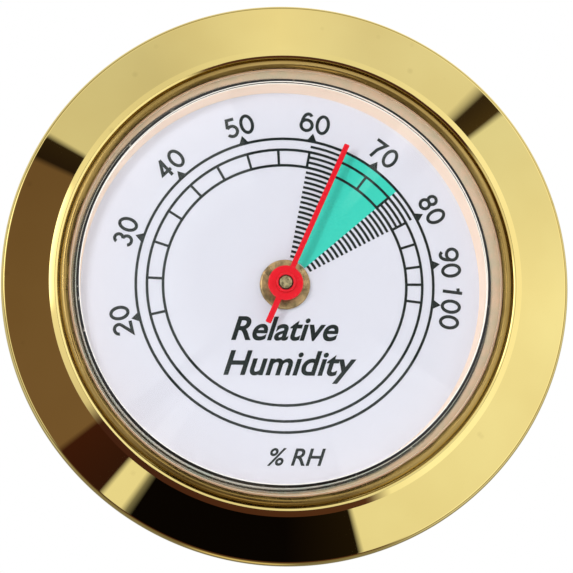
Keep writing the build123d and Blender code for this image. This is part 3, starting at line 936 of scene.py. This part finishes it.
# just outside that, which the bead's outer slope reflects
STUDIO_BEAD = (
    (0, (0.98, 0.98, 0.96)),
    (14, (0.92, 0.92, 0.90)),
    (60, (1.20, 1.20, 1.20)),
    (140, (1.22, 1.24, 1.24)),
    (152, (1.10, 1.10, 1.06)),
    (158, (0.10, 0.04, 0.03)),
    (234, (0.06, 0.02, 0.02)),
    (240, (0.80, 0.76, 0.72)),
    (285, (1.20, 1.18, 1.12)),
    (312, (0.95, 0.94, 0.90)),
    (332, (0.90, 0.90, 0.88)),
)
# further out, where the lens ring reflects the far side
STUDIO_MIDDLE = (
    (0, (0.42, 0.36, 0.24)),
    (45, (0.50, 0.43, 0.30)),
    (90, (0.46, 0.38, 0.25)),
    (135, (0.34, 0.28, 0.18)),
    (180, (0.20, 0.17, 0.12)),
    (225, (0.20, 0.17, 0.11)),
    (270, (0.28, 0.24, 0.16)),
    (315, (0.30, 0.25, 0.15)),
)
# the tent walls, open and dark below the camera
STUDIO_WALLS = (
    (0, (0.76, 0.76, 0.79)),
    (60, (0.76, 0.76, 0.79)),
    (140, (0.80, 0.80, 0.83)),
    (156, (0.30, 0.27, 0.24)),
    (174, (0.22, 0.19, 0.16)),
    (180, (0.80, 0.68, 0.50)),
    (196, (0.80, 0.68, 0.50)),
    (202, (0.22, 0.19, 0.16)),
    (230, (0.30, 0.27, 0.24)),
    (240, (0.66, 0.66, 0.70)),
)
TABLE_END = 359.9
# each table, and the degrees from the mirror axis over which it takes over from what is inside it
STUDIO = (
    (4.2, 5.6, STUDIO_RING),
    (27.5, 29, STUDIO_BEAD),
    (38, 41, STUDIO_MIDDLE),
    (56, 64, STUDIO_WALLS),
)
LENS_SURROUND = (0.12, 0.11, 0.09)
# the room behind the panel, from the floor upwards
BACK_LOW = (0.26, 0.25, 0.24)
BACK_HIGH = (1.10, 1.10, 1.10)
BACK_FROM = (92, 110)
# (azimuth, elevation, half angle, softness, strength) of the lamps, in degrees
LAMPS = (
    (-35, 15, 9, 2, 19.0),
    (70, 30, 24, 6, 1.6),
    (150, 45, 22, 6, 2.6),
    (-125, 15, 20, 6, 1.0),
)
LAMPS_FROM = (33, 36)
# how bright the lamps look in polished brass, next to the light that they cast
GLOSSY_SHARE = 0.08


def studio():
    """White tent with dark flags, all round the direction that the dial mirrors to the camera."""
    world = bpy.data.worlds.new("studio")
    bpy.context.scene.world = world
    world.use_nodes = True
    n = Nodes(world.node_tree)
    output = n.add("ShaderNodeOutputWorld")
    direction = n.add("ShaderNodeTexCoord").outputs["Generated"]
    towards = sight(CAMERA_AZIMUTH, CAMERA_ELEVATION)
    axis = Vector((-towards.x, towards.y, -towards.z))
    right, up = across_and_up(axis)

    def dot(vector):
        node = n.add("ShaderNodeVectorMath", operation="DOT_PRODUCT")
        n.link(direction, node.inputs[0])
        node.inputs[1].default_value = vector
        return node.outputs["Value"]

    polar = n.math("ARCCOSINE", dot(axis))
    clock = n.math("ARCTAN2", dot(right), dot(up))
    turn = n.math("FRACT", n.math("ADD", n.math("DIVIDE", clock, 2 * math.pi), 1.0))

    def ring(table):
        """The table's colours round the mirror axis."""
        closed = table + ((TABLE_END, table[0][1]),)
        ramp = n.add("ShaderNodeValToRGB")
        n.link(turn, ramp.inputs["Fac"])
        stops = ramp.color_ramp.elements
        while len(stops) < len(closed):
            stops.new(0.5)
        for stop, (angle, colour) in zip(stops, closed):
            stop.position = angle / 360
            stop.color = (*colour, 1)
        return ramp.outputs["Color"]

    def beyond(low, high):
        """0 nearer the mirror axis than low degrees, 1 further from it than high."""
        return n.span(polar, math.radians(low), math.radians(high), 0, 1)

    def lamp(azimuth, elevation, half_angle, soft, strength):
        """A round lamp with a soft rim."""
        low = math.cos(math.radians(half_angle + soft))
        high = math.cos(math.radians(half_angle - soft))
        towards_lamp = dot(sight(azimuth, elevation))
        return n.span(towards_lamp, low, high, 0.0, strength, interpolation_type="SMOOTHSTEP")

    colour = LENS_SURROUND
    for low, high, table in STUDIO:
        colour = n.mix(beyond(low, high), colour, ring(table))
    behind = n.mix(n.span(dot(Vector((0, 0, 1))), -0.5, 0.8, 0, 1), BACK_LOW, BACK_HIGH)
    colour = n.mix(beyond(*BACK_FROM), colour, behind)
    glow = 0.0
    for settings in LAMPS:
        glow = n.math("ADD", lamp(*settings), glow)
    rays = n.add("ShaderNodeLightPath")
    dimmed = n.span(rays.outputs["Is Glossy Ray"], 0, 1, 1, GLOSSY_SHARE)
    glow = n.product(glow, beyond(*LAMPS_FROM), dimmed)
    lit = n.add("ShaderNodeMix", data_type="RGBA", blend_type="ADD", clamp_result=False)
    lit.inputs[0].default_value = 1.0
    n.link(colour, lit.inputs[6])
    n.link(glow, lit.inputs[7])
    light = n.add("ShaderNodeBackground")
    n.link(n.mix(rays.outputs["Is Camera Ray"], lit.outputs[2], (1.0, 1.0, 1.0)), light.inputs["Color"])
    n.link(light.outputs[0], output.inputs["Surface"])
    world.cycles.sampling_method = "MANUAL"
    world.cycles.sample_map_resolution = 2048


def look():
    """Plain colour management, so that the colours above are the ones that are seen."""
    scene = bpy.context.scene
    scene.view_settings.view_transform = "Standard"
    scene.view_settings.look = "None"


bezel()
lens_rim()
lens()
gasket()
reflector()
dial()
dial_lettering()
bush()
spindle()
hub()
softened_nodes()
coil()
camera()
floor()
studio()
look()
